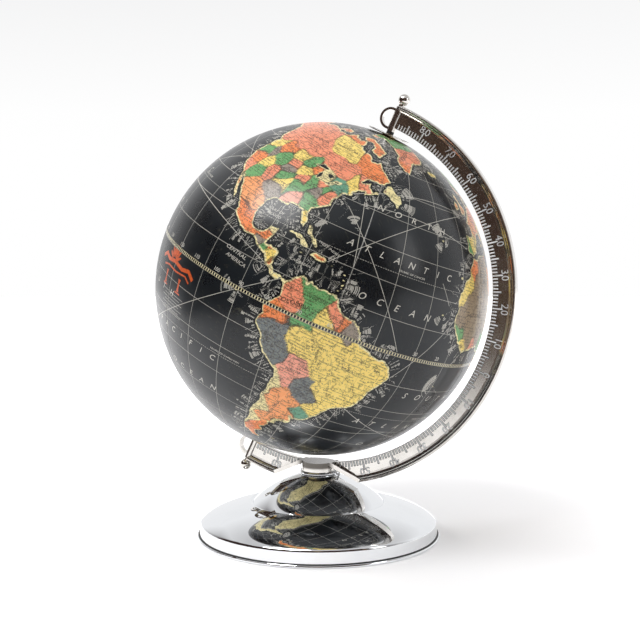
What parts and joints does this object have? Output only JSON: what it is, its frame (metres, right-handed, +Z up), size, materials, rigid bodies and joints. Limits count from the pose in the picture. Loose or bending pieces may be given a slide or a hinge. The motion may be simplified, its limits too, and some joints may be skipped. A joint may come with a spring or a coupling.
{
  "type": "desktop globe on stand",
  "caption": "Desktop globe that spins on pull-out pivot pins in a half meridian arm with a degree scale, on a stepped round base with a weight inside.",
  "frame": {"origin": "middle of the base's lower face, on the surface that the globe stands on", "axes": "+Z up; the meridian arm lies in the XZ plane and bulges towards +X, and the globe's north pole leans towards +X"},
  "size_m": [0.3334, 0.3052, 0.4043],
  "materials": {
    "felt": "matte",
    "fibre_board": "matte",
    "plated_steel": "satin",
    "base_chrome": "polished",
    "cast_weight": "as cast",
    "arm_nickel": "polished nickel, a little worn",
    "spacer_dark": "satin",
    "pin_nickel": "polished",
    "globe_card": "matte",
    "map_print": "varnished print",
    "ferrule_brass": "satin",
    "dial_metal": "polished, dark edge"
  },
  "bodies": {
    "stand": {"felt_pad": "felt", "base_board": "fibre_board", "board_screws": "plated_steel", "foot_ring": "base_chrome", "base_shell": "base_chrome", "ballast_weight": "cast_weight", "fixing_bolt": "plated_steel", "lock_washer": "plated_steel", "flat_washer": "plated_steel", "neck_collar": "base_chrome", "meridian_arm": "arm_nickel", "north_sleeve": "arm_nickel", "south_sleeve": "arm_nickel", "north_spacer": "spacer_dark", "south_spacer": "spacer_dark"},
    "globe": {"north_hemisphere": "globe_card", "south_hemisphere": "globe_card", "equator_joint_ring": "globe_card", "equator_band": "map_print", "north_gores": "map_print", "south_gores": "map_print", "north_ferrule": "ferrule_brass", "south_ferrule": "ferrule_brass", "north_backing_washer": "plated_steel", "south_backing_washer": "plated_steel"},
    "hour_dial": {"hour_dial": "dial_metal"},
    "north_pin": {"north_pin": "pin_nickel", "north_pin_ball": "pin_nickel"},
    "south_pin": {"south_pin": "pin_nickel", "south_pin_ball": "pin_nickel"}
  },
  "joints": [
    {"name": "globe_spin", "type": "hinge", "parent": "stand", "child": "globe", "pos_m": [0.0035, 0, 0.23005], "axis": [0.4226, 0, 0.9063], "continuous": true},
    {"name": "hour_dial_turn", "type": "hinge", "parent": "globe", "child": "hour_dial", "pos_m": [0.0035, 0, 0.23005], "axis": [0.4226, 0, 0.9063], "continuous": true},
    {"name": "north_pin_slide", "type": "slide", "parent": "stand", "child": "north_pin", "axis": [0.4226, 0, 0.9063], "range_m": [0, 0.016]},
    {"name": "south_pin_slide", "type": "slide", "parent": "stand", "child": "south_pin", "axis": [-0.4226, 0, -0.9063], "range_m": [0, 0.016]}
  ]
}
